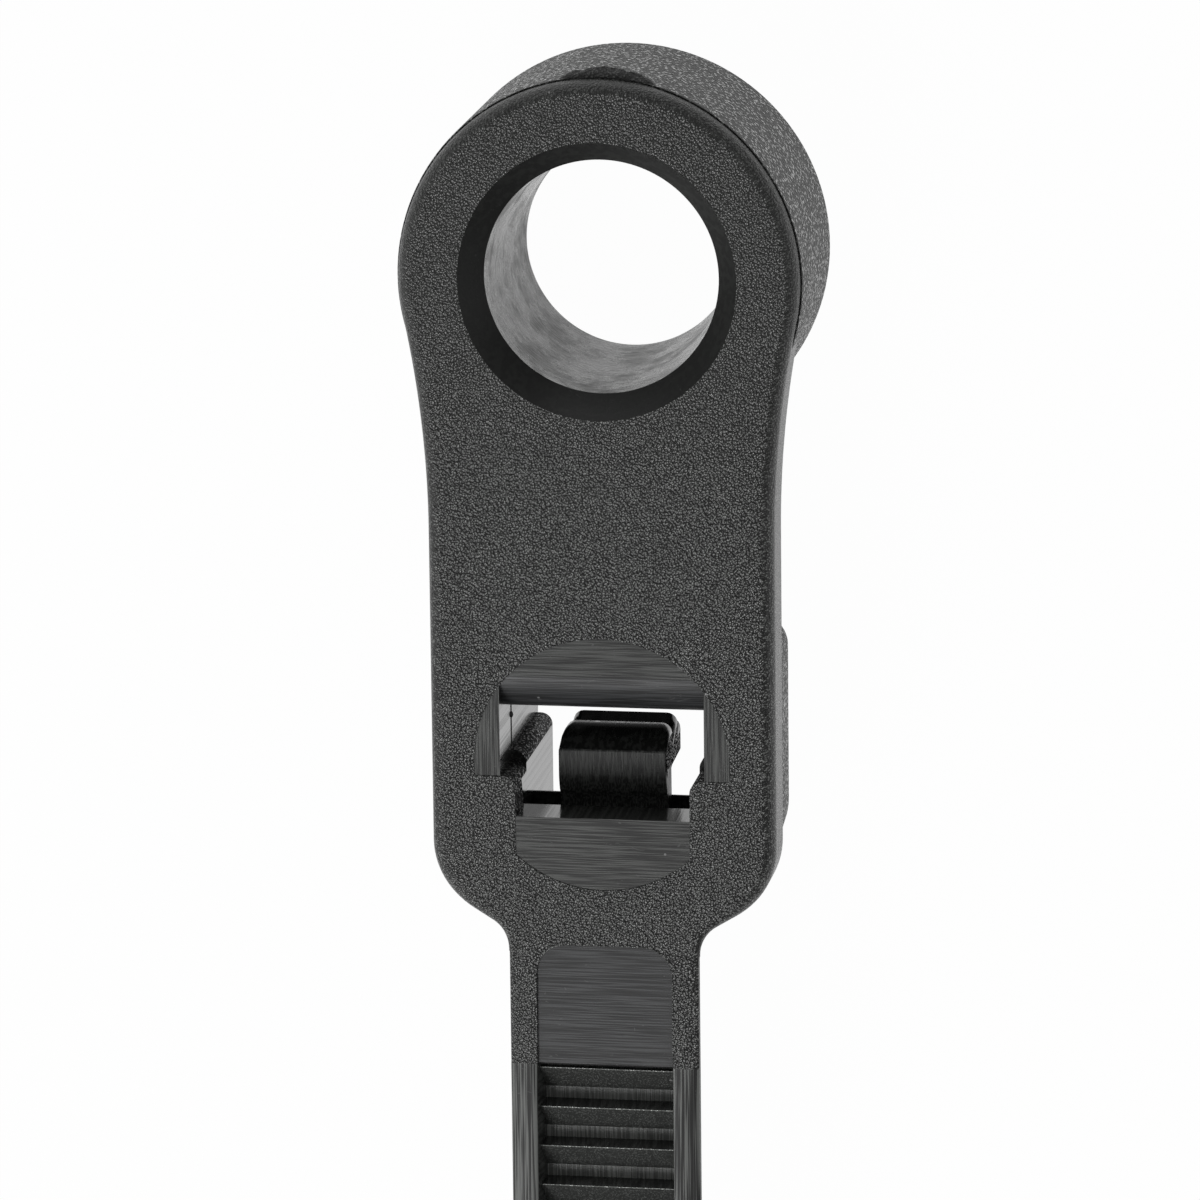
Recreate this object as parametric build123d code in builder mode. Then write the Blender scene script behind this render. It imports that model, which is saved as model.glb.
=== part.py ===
from build123d import *
import math
import os

os.makedirs("parts", exist_ok=True)

# Driving dimensions, in millimetres. X runs across the strap, +Y from the strap to the eyelet and
# +Z up out of the toothed face. The origin is on the eyelet's axis, on the flat that seats.

# Strap
strap_width = 4.8
strap_thickness = 1.3
strap_side_draft = 0.2      # taken off each side at the plain back of the strap
strap_edge_round = 0.12
strap_reach = 181.0         # along the strap, from the end of the neck to the tip
level_reach = 12.0          # leaves the head level over this length
drop_run = 112.0            # plan length of the gentle S down to the surface below
tip_taper = 13.0
tip_width = 2.4
tip_round = 0.8
tip_plain = 24.0            # no teeth over this length at the tip

# Teeth, sunk between two side rails
rail_width = 0.7
tooth_pitch = 1.02
tooth_height = 0.57
tooth_ramp = 0.66           # plan length of the ramp behind each locking face
tooth_lean = 0.06           # plan length of the locking face
crest_depth = 0.22          # tooth crests lie this far under the rails
smooth_patch_top = 16.75    # eyelet axis to the smooth arched patch above the first tooth
smooth_patch_length = 3.08
smooth_patch_depth = 0.07
smooth_patch_round = 0.7

# Head, seen from its toothed face
head_depth = 5.6            # from the toothed face to the seat
plate_thickness = 1.4
head_wall = 1.75            # plate beside the strap slot
head_length = 15.35         # eyelet axis to the corner of the slanted shoulder
shoulder_angle = 30.0
shoulder_round = 2.0
neck_round = 0.8
neck_straight = 0.05        # plain neck below its rounding, before the strap
waist_end = 6.3             # below this the plate's sides run straight
face_edge_round = 0.35

# Eyelet and its boss
bore_diameter = 5.6
mouth_diameter = 6.88
mouth_depth = 0.75
eye_flare = 0.65            # the eyelet's rim stands out this much past the plate's sides
boss_step = 0.05            # the boss stands out past the face plate's rim
rim_height = 0.45           # height of the rim in front of that step
seat_edge_round = 0.2

# Strap slot
slot_top = 10.9             # eyelet axis to the slot's upper wall
slot_side_gap = 0.15        # beside the strap, each side
channel_gap = 0.05          # over the strap's thickness
front_depth = 1.7           # depth of the part of the slot shaped from the face
front_step = 0.22           # the front shoulders lie this far under the side rails of the channel
shoulder_ledge = 0.37       # width of each shoulder
shoulder_edge_round = 0.3
lead_in_rise = 1.03
lead_in_depth = 1.05
lead_in_radius = 1.25
core_diameter = 6.4         # round core mark about the slot
core_centre = 12.12         # eyelet axis to the middle of that mark
lip_drop = 1.02             # front shoulder to the lower lip of the slot

# Lock box behind the plate
box_inset = 0.15
box_draft = 3.0             # degrees
box_top_wall = 1.7          # wall between the box's end and the slot
box_corner_round = 1.0
box_edge_round = 0.35

# Pawl and its chamber
pawl_width = 2.7
pawl_setback = 1.65         # face to the pawl's nose
pawl_crest_height = 0.55    # reach into the strap's channel
pawl_crest_set = 1.1        # nose to the first crest
pawl_tooth_drop = 0.36
pawl_tail = 0.55            # past the last crest
pawl_nose_drop = 0.48       # the nose's top lies this far under the crests
pawl_thickness = 0.65
nose_height = 0.95
nose_slant = 0.2            # the nose's foot slants out by this much towards the hinge
hinge_set = 0.35            # nose to the thin hinge
hinge_thickness = 0.45
hinge_root = 0.3            # the hinge reaches this far into the chamber's floor
chamber_sag = 0.45          # the chamber's floor behind the lower lip
chamber_sag_depth = 1.15    # depth at which the floor has reached its sag
chamber_ridge = 2.95        # depth of the floor's ridge
chamber_fall = 0.4          # depth over which the floor falls away behind the ridge
chamber_floor_wall = 1.6    # between the chamber and the end of the box

# Places worked out from the driving dimensions
half_strap = strap_width / 2
half_slot = half_strap + slot_side_gap
half_recess = half_slot - shoulder_ledge
half_head = half_slot + head_wall
eye_radius = half_head + eye_flare
boss_radius = eye_radius + boss_step
face = head_depth
neck_drop = (half_head - half_strap) * math.tan(math.radians(shoulder_angle))
neck_corner = head_length + neck_drop
neck_end = neck_corner + neck_round * math.tan(math.radians(shoulder_angle)) + neck_straight
rail_line = slot_top + strap_thickness + channel_gap
shoulder_line = rail_line + front_step
lip_line = shoulder_line + lip_drop
root_line = smooth_patch_top + smooth_patch_length
box_top = slot_top - box_top_wall
box_end = neck_corner - box_inset
chamber_end = box_end - chamber_floor_wall
above = 1.0                 # cutters reach this far past the faces that they open
skin = 0.01                 # keeps two joined shapes from sharing a plane


# Outline of the face plate: eyelet ring, waist, straight sides, slanted shoulders and neck
waist_radius = (half_head ** 2 + waist_end ** 2 - eye_radius ** 2) / (2 * eye_flare)
waist_span = eye_radius + waist_radius
waist_x = eye_radius * (half_head + waist_radius) / waist_span
waist_y = -eye_radius * waist_end / waist_span

with BuildSketch() as plate_outline:
    with BuildLine() as half_outline:
        Line((0, 0), (waist_x, waist_y))
        RadiusArc((waist_x, waist_y), (half_head, -waist_end), waist_radius)
        sides = FilletPolyline(
            (half_head, -waist_end),
            (half_head, -head_length),
            (half_strap, -neck_corner),
            (half_strap, -neck_end - above),
            radius=[shoulder_round, neck_round],
        )
        Polyline(sides @ 1, (0, -neck_end - above), (0, 0))
    make_face()
    mirror(about=Plane.YZ)
    Circle(eye_radius)
    with Locations((0, -neck_end - above)):
        Rectangle(strap_width * 2, above * 2, mode=Mode.SUBTRACT)

with BuildPart() as plate:
    with BuildSketch(Plane.XY.offset(face - plate_thickness)):
        add(plate_outline.sketch)
    extrude(amount=plate_thickness)
    rim = plate.faces().sort_by(Axis.Z)[-1].edges().sort_by(Axis.Y)[1:]
    fillet(rim, face_edge_round)


# Boss round the eyelet, down to the seat
with BuildPart() as boss:
    with BuildSketch():
        Circle(boss_radius)
    extrude(amount=face - rim_height)
    fillet(boss.faces().sort_by(Axis.Z)[0].edges(), seat_edge_round)


# Lock box: the plate's lower outline, drawn in by its draft as it goes back
with BuildPart() as box:
    with BuildSketch(Plane.XY.offset(face - plate_thickness / 2)):
        with BuildLine():
            half_box = half_head - box_inset
            walls = FilletPolyline(
                (0, -box_top),
                (half_box, -box_top),
                (half_box, -head_length),
                (half_strap, -box_end),
                (0, -box_end),
                radius=[box_corner_round, shoulder_round, neck_round / 2],
            )
            Line(walls @ 1, walls @ 0)
        make_face()
        mirror(about=Plane.YZ)
    extrude(amount=-(face - plate_thickness / 2), taper=box_draft)
    fillet(box.faces().sort_by(Axis.Z)[0].edges(), box_edge_round)


# Rounded lead-in at the slot's upper wall, trimmed by the round core
with BuildPart() as lead_in:
    with BuildSketch(Plane.YZ):
        with BuildLine():
            start = (-slot_top + lead_in_rise, face)
            end = (-slot_top, face - lead_in_depth)
            RadiusArc(start, end, lead_in_radius)
            Polyline(end, (-slot_top - above / 2, face - lead_in_depth),
                     (-slot_top - above / 2, face + above), (start[0], face + above), start)
        make_face()
    extrude(amount=half_slot, both=True)
    with Locations((0, -core_centre, face)):
        Cylinder(core_diameter / 2, 2 * (lead_in_depth + above), mode=Mode.INTERSECT)


# Strap channel: wide part, then shoulders in front and side rails behind
with BuildPart() as channel:
    with BuildSketch(Plane.XY.offset(face + above)):
        with Locations((0, -(slot_top + shoulder_line) / 2)):
            Rectangle(2 * half_slot, shoulder_line - slot_top)
        with Locations((0, -(shoulder_line + lip_line) / 2)):
            Rectangle(2 * half_recess, lip_line - shoulder_line)
        inner_corners = vertices().filter_by_position(Axis.Y, -shoulder_line - skin, -shoulder_line + skin)
        fillet(inner_corners.sort_by(lambda v: abs(v.X))[:2], shoulder_edge_round)
    extrude(amount=-(above + front_depth))
    with BuildSketch(Plane.XY.offset(face - front_depth)):
        with Locations((0, -(slot_top + rail_line) / 2)):
            Rectangle(2 * half_slot, rail_line - slot_top)
        with Locations((0, -(rail_line + lip_line) / 2)):
            Rectangle(2 * half_recess, lip_line - rail_line)
        inner_corners = vertices().filter_by_position(Axis.Y, -rail_line - skin, -rail_line + skin)
        fillet(inner_corners.sort_by(lambda v: abs(v.X))[:2], shoulder_edge_round)
    extrude(amount=-(face - front_depth + above))


# Chamber that the pawl bends into, open at the seat side
with BuildPart() as chamber:
    with BuildSketch(Plane.YZ):
        with BuildLine():
            floor_low = lip_line + chamber_sag
            ridge_foot = chamber_ridge + chamber_fall
            Polyline(
                (-shoulder_line, face - front_depth / 2),
                (-lip_line, face - skin),
                (-floor_low, face - chamber_sag_depth),
                (-floor_low, face - pawl_setback - hinge_set - hinge_thickness / 2),
                (-lip_line, face - chamber_ridge),
                (-chamber_end, face - ridge_foot),
                (-chamber_end, -above),
                (-shoulder_line, -above),
                close=True,
            )
        make_face()
    extrude(amount=half_recess, both=True)


# Pawl: a toothed tongue on a thin hinge, nose towards the face
with BuildPart() as pawl:
    with BuildSketch(Plane.YZ):
        with BuildLine():
            crest_y = -rail_line + pawl_crest_height
            valley_y = crest_y - pawl_tooth_drop
            nose_z = face - pawl_setback
            crest_z = nose_z - pawl_crest_set
            tail_z = crest_z - tooth_pitch - pawl_tail
            nose_y = crest_y - pawl_nose_drop
            hinge_z = nose_z - hinge_set
            under_y = nose_y - pawl_thickness
            foot_y = -lip_line - chamber_sag - hinge_root
            Polyline(
                (foot_y, hinge_z),
                (nose_y - nose_height - nose_slant, hinge_z),
                (nose_y - nose_height, nose_z),
                (nose_y, nose_z),
                (crest_y, crest_z),
                (valley_y, crest_z - tooth_lean),
                (crest_y, crest_z - tooth_pitch),
                (valley_y, crest_z - tooth_pitch - tooth_lean),
                (valley_y + pawl_tooth_drop / 2, tail_z),
                (under_y, tail_z),
                (under_y, hinge_z - hinge_thickness),
                (foot_y, hinge_z - hinge_thickness),
                close=True,
            )
        make_face()
    extrude(amount=pawl_width / 2, both=True)


# Path of the strap's toothed face, in the plane X = 0
fall = face - strap_thickness
bend = 2 * math.atan(fall / drop_run)
bend_radius = drop_run / (2 * math.sin(bend))
level_end = neck_end + level_reach
landing = level_end + drop_run
bend_length = bend_radius * bend
lying_length = strap_reach - level_reach - 2 * bend_length


def along(distance, height):
    """Y and Z of a point on the strap: distance from the neck along the face, height above it."""
    run = distance - level_reach
    if run <= 0:
        return (-neck_end - distance, face + height)
    if run <= bend_length:
        angle = run / bend_radius
        arm = bend_radius + height
        return (-level_end - arm * math.sin(angle), face - bend_radius + arm * math.cos(angle))
    if run <= 2 * bend_length:
        angle = (2 * bend_length - run) / bend_radius
        arm = bend_radius - height
        return (-landing + arm * math.sin(angle), strap_thickness + bend_radius - arm * math.cos(angle))
    return (-landing - (run - 2 * bend_length), strap_thickness + height)


with BuildPart() as strap:
    with BuildLine(Plane.YZ) as route:
        middle = along(level_reach + bend_length, 0)
        Line((-neck_end, face), (-level_end, face))
        RadiusArc((-level_end, face), middle, -bend_radius)
        RadiusArc(middle, (-landing, strap_thickness), bend_radius)
        Line((-landing, strap_thickness), along(strap_reach, 0))
    with BuildSketch(Plane(origin=(0, -neck_end, face), x_dir=(1, 0, 0), z_dir=(0, -1, 0))):
        with BuildLine():
            Polyline(
                (-half_strap, 0),
                (half_strap, 0),
                (half_strap - strap_side_draft, -strap_thickness),
                (-half_strap + strap_side_draft, -strap_thickness),
                close=True,
            )
        make_face()
        fillet(vertices(), strap_edge_round)
    sweep(path=route.line)

    # Tip, narrowed in plan and blunt
    tip_end = along(strap_reach, 0)[0]
    with BuildSketch():
        with BuildLine():
            taper = FilletPolyline(
                (half_strap, tip_end + tip_taper),
                (tip_width / 2, tip_end),
                (0, tip_end),
                radius=tip_round,
            )
            Polyline(taper @ 1, (0, tip_end - above), (strap_width, tip_end - above),
                     (strap_width, tip_end + tip_taper), taper @ 0)
        make_face()
        mirror(about=Plane.YZ)
    extrude(amount=strap_thickness + above, both=True, mode=Mode.SUBTRACT)

    # Stub into the head, so that strap and plate are one moulding
    with BuildSketch(Plane(origin=(0, -neck_end, face), x_dir=(1, 0, 0), z_dir=(0, 1, 0))):
        with Locations((0, strap_thickness / 2)):
            Rectangle(strap_width - 2 * strap_side_draft, strap_thickness - 2 * skin)
    extrude(amount=neck_end - box_end + above)


# Row of teeth between the rails: crest, ramp down towards the tip, flat, steep locking face
first_tooth = root_line - neck_end
tooth_count = int((strap_reach - tip_plain - first_tooth) / tooth_pitch)
row_end = first_tooth + tooth_count * tooth_pitch
tooth_line = []
for tooth in range(tooth_count):
    crest = first_tooth + tooth * tooth_pitch
    tooth_line.append(along(crest, -crest_depth))
    tooth_line.append(along(crest + tooth_ramp, -crest_depth - tooth_height))
    tooth_line.append(along(crest + tooth_pitch - tooth_lean, -crest_depth - tooth_height))
over_line = [along(first_tooth + tooth * tooth_pitch, above / 2) for tooth in range(tooth_count + 1)]

with BuildPart() as tooth_row:
    with BuildSketch(Plane.YZ):
        with BuildLine():
            Polyline(*tooth_line, along(row_end, -crest_depth), *reversed(over_line), close=True)
        make_face()
    extrude(amount=half_strap - rail_width, both=True)


with BuildPart() as smooth_patch:
    with BuildSketch(Plane.XY.offset(face - smooth_patch_depth)):
        patch_half = half_strap - rail_width
        with BuildLine():
            arch = FilletPolyline(
                (patch_half, -root_line),
                (patch_half, -smooth_patch_top),
                (0, -smooth_patch_top),
                radius=smooth_patch_round,
            )
            Polyline(arch @ 1, (0, -root_line), arch @ 0)
        make_face()
        mirror(about=Plane.YZ)
    extrude(amount=above)


# The whole tie is one moulding
with BuildPart() as cable_tie:
    add(plate.part)
    add(boss.part)
    add(box.part)
    add(strap.part)
    add(lead_in.part, mode=Mode.SUBTRACT)
    add(channel.part, mode=Mode.SUBTRACT)
    add(chamber.part, mode=Mode.SUBTRACT)
    add(pawl.part)
    add(smooth_patch.part, mode=Mode.SUBTRACT)
    add(tooth_row.part, mode=Mode.SUBTRACT)
    with Locations((0, 0, face)):
        Cylinder(bore_diameter / 2, 2 * face + above, mode=Mode.SUBTRACT)
    with Locations((0, 0, face - mouth_depth / 2)):
        Cone(bore_diameter / 2, mouth_diameter / 2, mouth_depth, mode=Mode.SUBTRACT)

cable_tie.part.label = "cable_tie"
export_step(cable_tie.part, "parts/cable_tie.step")
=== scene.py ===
"""Cable tie with an eyelet: the moulding in close detail, its nylon finishes and its stage."""
import math
from types import SimpleNamespace

import bmesh
import bpy
from bpy.props import FloatProperty, FloatVectorProperty, PointerProperty
from bpy.types import Operator, Panel, PropertyGroup
from mathutils import Matrix, Vector, noise


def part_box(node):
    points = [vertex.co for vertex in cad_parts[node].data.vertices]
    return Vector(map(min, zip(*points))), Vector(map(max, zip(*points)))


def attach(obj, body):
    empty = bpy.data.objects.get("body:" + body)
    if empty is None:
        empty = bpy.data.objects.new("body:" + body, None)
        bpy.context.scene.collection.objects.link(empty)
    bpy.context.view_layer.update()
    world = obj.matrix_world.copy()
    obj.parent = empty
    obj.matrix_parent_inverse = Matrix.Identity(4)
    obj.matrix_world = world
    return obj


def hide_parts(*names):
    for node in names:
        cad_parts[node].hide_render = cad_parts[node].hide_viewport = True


bl_info = {
    "name": "Cable tie with mount",
    "version": (1, 0, 0),
    "blender": (4, 5, 0),
    "location": "View3D > Sidebar > Cable tie",
    "description": "Models a nylon cable tie with a screw eyelet round its CAD frame",
    "category": "Add Mesh",
}

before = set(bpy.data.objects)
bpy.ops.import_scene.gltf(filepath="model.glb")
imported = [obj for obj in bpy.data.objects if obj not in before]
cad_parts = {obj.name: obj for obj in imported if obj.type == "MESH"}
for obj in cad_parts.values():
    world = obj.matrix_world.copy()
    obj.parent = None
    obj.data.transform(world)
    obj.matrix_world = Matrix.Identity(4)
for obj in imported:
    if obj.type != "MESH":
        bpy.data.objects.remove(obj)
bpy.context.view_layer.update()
node_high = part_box("cable_tie")[1]

MM = 0.001
ABOVE = 1.0                 # cutters reach this far past the faces that they open, in mm
SKIN = 0.002                # keeps two joined shapes from sharing a plane, in mm
TOUCHING = 1e-4             # points as near as this are one, in mm
FULL_TURN = 2 * math.pi
RIGHT_ANGLE = math.pi / 2
SHARP = math.radians(32)    # faces that turn by more than this meet at a sharp edge
ROUND_SIDES = 144           # sides of the boss and the bore
CORE_SIDES = 96             # sides of the slot's round core

# The finishes' places in the list that make_finishes gives
(FINE, COARSE, ACROSS, ALONG, RAIL, RAMP, LAND, NOSE, SMOOTH, SATIN, MOUTH, PATCH, SCAR, ROUGH,
 CREST_HIGHLIGHT) = range(15)


def length(default_mm, name, description):
    """A size that the sidebar shows in length units."""
    return FloatProperty(name=name, description=description, default=default_mm * MM,
                         unit="LENGTH", precision=5)


def away(default_mm, name, place):
    """A distance down the tie from the eyelet's middle."""
    return length(default_mm, name, f"Distance from the eyelet to {place}")


def degrees(default, name, description):
    """An angle that the sidebar shows in degrees."""
    return FloatProperty(name=name, description=description, default=math.radians(default),
                         subtype="ANGLE")


def fraction(default, name, description):
    """A value between 0 and 1."""
    return FloatProperty(name=name, description=description, default=default, min=0, max=1,
                         subtype="FACTOR")


def tone(default, name, description):
    """A colour that a user may change."""
    return FloatVectorProperty(name=name, description=description, default=default, min=0, max=1,
                               subtype="COLOR")


def brightness(default, name):
    """The brightness of a softbox."""
    return FloatProperty(name=name, description=f"Brightness of the {name.lower()}",
                         default=default, min=0)


class HeadSizes(PropertyGroup):
    """The face plate, the eyelet with its boss, and the lock box."""
    half_width: length(4.3, "Half width", "Half the plate's width beside the slot")
    plate_thickness: length(1.4, "Plate thickness", "Depth of the face plate")
    eye_radius: length(4.95, "Eyelet rim", "Radius of the rim round the eyelet")
    boss_radius: length(node_high.x / MM, "Boss radius", "Radius of the boss behind the rim")
    rim_height: length(0.45, "Rim height", "Height of the rim in front of the boss")
    seat_round: length(0.2, "Seat edge", "Rounding of the boss at the seat")
    waist_end: away(6.3, "Waist end", "where the sides run straight")
    shoulder_at: away(15.35, "Shoulder", "the slanted shoulder")
    shoulder_round: length(2.0, "Shoulder rounding", "Rounding of the shoulder in plan")
    neck_round: length(0.8, "Neck rounding", "Rounding between shoulder and strap in plan")
    shoulder_angle: degrees(30, "Shoulder angle", "Slant of the shoulder")
    edge_round: length(0.35, "Edge rounding", "Rounding of the plate's front edge")
    mouth_radius: length(3.44, "Mouth radius", "Countersunk mouth of the bore")
    mouth_depth: length(0.745, "Mouth depth", "Depth of the countersunk mouth")
    bore_front: length(2.9, "Bore at the mouth", "Radius of the bore below its mouth")
    bore_back: length(2.68, "Bore at the seat", "Radius of the bore at the seat")
    box_inset: length(0.15, "Box inset", "The lock box stands in from the plate by this much")
    box_top: away(9.2, "Box top", "the lock box")
    box_draft: degrees(3, "Box draft", "Draft of the lock box's walls")
    box_corner: length(1.0, "Box corner", "Rounding of the box's upper corners in plan")
    box_edge: length(0.35, "Box edge", "Rounding of the box at the seat")


class SlotSizes(PropertyGroup):
    """The strap slot, the marks of its cores and the chamber behind it."""
    half_width: length(2.55, "Half width", "Half the slot's width")
    half_recess: length(2.18, "Half recess", "Half the width between the slot's shoulders")
    top: away(10.9, "Top", "the slot's upper wall")
    shoulder: away(12.47, "Shoulder", "the front shoulders")
    rail: away(12.25, "Rail", "the side rails behind")
    lip: away(13.49, "Lip", "the lower lip")
    front_depth: length(1.7, "Front depth", "Depth shaped from the face")
    corner_round: length(0.3, "Corner rounding", "Rounding of the shoulders' inner corners")
    lead_in_rise: length(1.13, "Lead-in rise", "Height of the rounded lead-in")
    lead_in_depth: length(1.05, "Lead-in depth", "Depth of the rounded lead-in")
    lead_in_radius: length(1.25, "Lead-in radius", "Radius of the rounded lead-in")
    core_radius: length(3.2, "Core radius", "Radius of the round core mark")
    core_centre: away(12.12, "Core centre", "the core mark's centre")
    core_depth: length(0.02, "Core depth", "The core mark lies this deep")
    lip_wall: length(1.25, "Lip wall", "Depth of the upright wall under the lip")
    chamber_end: away(14.7, "Chamber end", "the chamber's end")
    chamber_sag: length(0.55, "Chamber sag", "Depth of the hollow behind the lip")
    ridge_depth: length(2.95, "Ridge depth", "Depth of the ridge on the chamber's floor")
    flash_width: length(0.035, "Flash width", "Width of the parting line on the left wall")
    bead_radius: length(0.07, "Bead radius", "Size of the bead on the parting line")


class PawlSizes(PropertyGroup):
    """The toothed tongue and its thin hinge."""
    half_width: length(1.36, "Half width", "Half the pawl's width at the nose")
    back_half_width: length(1.3, "Half width behind", "Half the pawl's width at its tail")
    setback: length(1.65, "Setback", "Depth of the nose behind the face")
    nose_top: away(12.15, "Nose top", "the top of the nose")
    nose_bottom: away(13.08, "Nose bottom", "the foot of the nose")
    crest: away(11.68, "Crest", "the crests")
    valley: away(12.05, "Valley", "the valleys")
    underside: away(12.75, "Underside", "the underside")
    first_crest: length(1.1, "First crest", "Depth of the first crest behind the nose")
    tail: length(0.55, "Tail", "Length past the last crest")
    crest_round: length(0.26, "Crest rounding", "Rounding of the crests' ends")
    hinge_set: length(0.35, "Hinge set", "Depth of the hinge behind the nose")
    hinge_thickness: length(0.45, "Hinge thickness", "Thickness of the hinge")


class StrapSizes(PropertyGroup):
    """The strap with its rails and teeth, and the way it lies."""
    half_width: length(2.4, "Half width", "Half the strap's width")
    thickness: length(1.3, "Thickness", "Thickness of the strap")
    side_draft: length(0.2, "Side draft", "Taken off each side at the plain back")
    edge_round: length(0.12, "Edge rounding", "Rounding of the strap's edges")
    neck_end: away(16.96, "Neck end", "the strap")
    reach: length(181.0, "Reach", "Length along the strap from the neck to the tip")
    level_reach: length(12.0, "Level reach", "Leaves the head level over this length")
    drop_run: length(112.0, "Drop run", "Plan length of the drop to the surface below")
    root: away(19.83, "Root", "the first tooth")
    rail_width: length(0.7, "Rail width", "Width of each side rail")
    rail_dip: length(0.006, "Rail dip", "The rails dip this much between their edges")
    root_groove: length(0.12, "Root groove", "Depth of the groove before the first crest")
    first_gap: length(0.15, "First gap", "Distance from the row's root to its first crest")
    pitch: length(1.02, "Tooth pitch", "Distance from tooth to tooth")
    crest_depth: length(0.22, "Crest depth", "Crests lie this far under the rails")
    tooth_height: length(0.57, "Tooth height", "Depth of the teeth below their crests")
    ramp: length(0.66, "Ramp", "Plan length of the ramp behind each locking face")
    lean: length(0.06, "Lean", "Plan length of the locking face")
    # The crest's edge strip carries a painted highlight
    crest_width: length(0.03, "Crest edge", "Width of the crest's worn edge")
    wall_lean: length(0.06, "Wall lean", "Lean of the pocket's side walls")
    tip_plain: length(24.0, "Plain tip", "No teeth over this length at the tip")
    tip_taper: length(13.0, "Tip taper", "Length of the narrowed tip")
    tip_half_width: length(1.2, "Tip half width", "Half the strap's width at its tip")
    tip_round: length(0.8, "Tip rounding", "Rounding of the tip's corners in plan")
    patch_top: away(16.75, "Patch top", "the smooth patch")
    patch_round: length(0.75, "Patch rounding", "Rounding of the patch's corners")
    patch_depth: length(0.07, "Patch depth", "Depth of the smooth patch")


class FinishSettings(PropertyGroup):
    """The black nylon and its surfaces."""
    nylon: tone((0.0219, 0.0227, 0.0217), "Nylon", "Colour of the black nylon")
    patch: tone((0.0205, 0.0211, 0.0222), "Patch", "Colour of the smooth patch")
    dust: tone((0.2, 0.2, 0.2), "Dust", "Colour of the fine dust specks")
    roughness: fraction(0.22, "Roughness", "Roughness of the eroded faces")
    grain_size: length(0.044, "Grain size", "Size of the eroded grain on the faces")
    grain_depth: length(0.028, "Grain depth", "Depth of the eroded grain on the faces")


class StageSettings(PropertyGroup):
    """The camera, the lamps and the white table."""
    lens: FloatProperty(name="Lens", description="Focal length of the camera", default=240,
                        unit="CAMERA")
    front_glow: brightness(6.7, "Front softbox")
    back_glow: brightness(1.1, "Back softbox")
    left_glow: brightness(0.8, "Left softbox")
    right_glow: brightness(0.8, "Right softbox")
    table_glow: fraction(1, "Table glow", "White of the lit table")
    mirrored_white: fraction(0.95, "Mirrored white", "Evenness of the table's white in reflections")
    world_grey: fraction(0.2, "Room", "Brightness of the room")


def in_mm(group):
    """A group's values as plain numbers, lengths in millimetres."""
    plain = {}
    for key, prop in group.bl_rna.properties.items():
        if prop.type == "FLOAT":
            value = getattr(group, key)
            plain[key] = value / MM if prop.unit == "LENGTH" else value
    return SimpleNamespace(**plain)


# Shapes

def new_verts(made):
    """The vertices in what an operator made."""
    return [g for g in made if isinstance(g, bmesh.types.BMVert)]


def painted(bm, finish):
    """A shape with one finish on every face."""
    for face in bm.faces:
        face.material_index = finish
    return bm


def pulled_up(bm, rise, finish):
    """A closed prism of one finish, from a flat face."""
    made = bmesh.ops.extrude_face_region(bm, geom=bm.faces[:])["geom"]
    bmesh.ops.translate(bm, verts=new_verts(made), vec=(0, 0, rise))
    bmesh.ops.recalc_face_normals(bm, faces=bm.faces)
    return painted(bm, finish)


def arc_on(bm, last, centre, turn, steps):
    """Carries a wire on from its last vertex, along an arc round an upright axis."""
    made = bmesh.ops.spin(bm, geom=[last], cent=(*centre, last.co.z), axis=(0, 0, 1), angle=turn,
                          steps=steps, use_merge=False)
    return new_verts(made["geom_last"])[0]


def line_on(bm, last, spot):
    """Carries a wire on from its last vertex, straight to a point."""
    vert = bm.verts.new((*spot, last.co.z))
    bm.edges.new((last, vert))
    return vert


def close_halves(bm):
    """Mirrors half an outline in X and joins its ends."""
    bmesh.ops.mirror(bm, geom=bm.verts[:] + bm.edges[:], axis="X", merge_dist=TOUCHING)
    bmesh.ops.remove_doubles(bm, verts=bm.verts, dist=TOUCHING)


def traced(bm):
    """The points of a closed wire in order, counterclockwise, and the ways out of it there."""
    bm.verts.ensure_lookup_table()
    order = [bm.verts[0]]
    edge = order[0].link_edges[0]
    while len(order) < len(bm.verts):
        order.append(edge.other_vert(order[-1]))
        edge = next(e for e in order[-1].link_edges if e is not edge)
    points = [v.co.to_2d() for v in order]
    area = sum(a.x * b.y - b.x * a.y for a, b in zip(points, points[1:] + points[:1]))
    if area < 0:
        points.reverse()
    outs = []
    for before, here, after in zip(points[-1:] + points[:-1], points, points[1:] + points[:1]):
        one, two = (here - before).normalized(), (after - here).normalized()
        one, two = Vector((one.y, -one.x)), Vector((two.y, -two.x))
        outs.append((one + two) / (1 + one.dot(two)))
    bm.free()
    return points, outs


def loft(rings, finish, between=None):
    """Skins a row of rings with as many points each, by extruding the first from ring to ring.
    between(ring, spot) may name the finish of the face after that ring and point."""
    bm = bmesh.new()
    spot = bm.verts.layers.int.new("spot")
    count = len(rings[0])
    verts = [bm.verts.new(p) for p in rings[0]]
    for i, vert in enumerate(verts):
        vert[spot] = i
    edges = [bm.edges.new((verts[i], verts[(i + 1) % count])) for i in range(count)]
    first = edges
    for level, ring in enumerate(rings[1:]):
        made = bmesh.ops.extrude_edge_only(bm, edges=edges)["geom"]
        new = set(new_verts(made))
        for vert in new:
            vert.co = ring[vert[spot]]
        edges = [g for g in made if isinstance(g, bmesh.types.BMEdge) and set(g.verts) <= new]
        for face in (g for g in made if isinstance(g, bmesh.types.BMFace)):
            spots = sorted({v[spot] for v in face.verts})
            start = spots[-1] if spots == [0, count - 1] else spots[0]
            face.material_index = between(level, start) if between else finish
    for rim in (first, edges):
        bmesh.ops.contextual_create(bm, geom=rim)["faces"][0].material_index = finish
    bmesh.ops.recalc_face_normals(bm, faces=bm.faces)
    return bm


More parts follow.
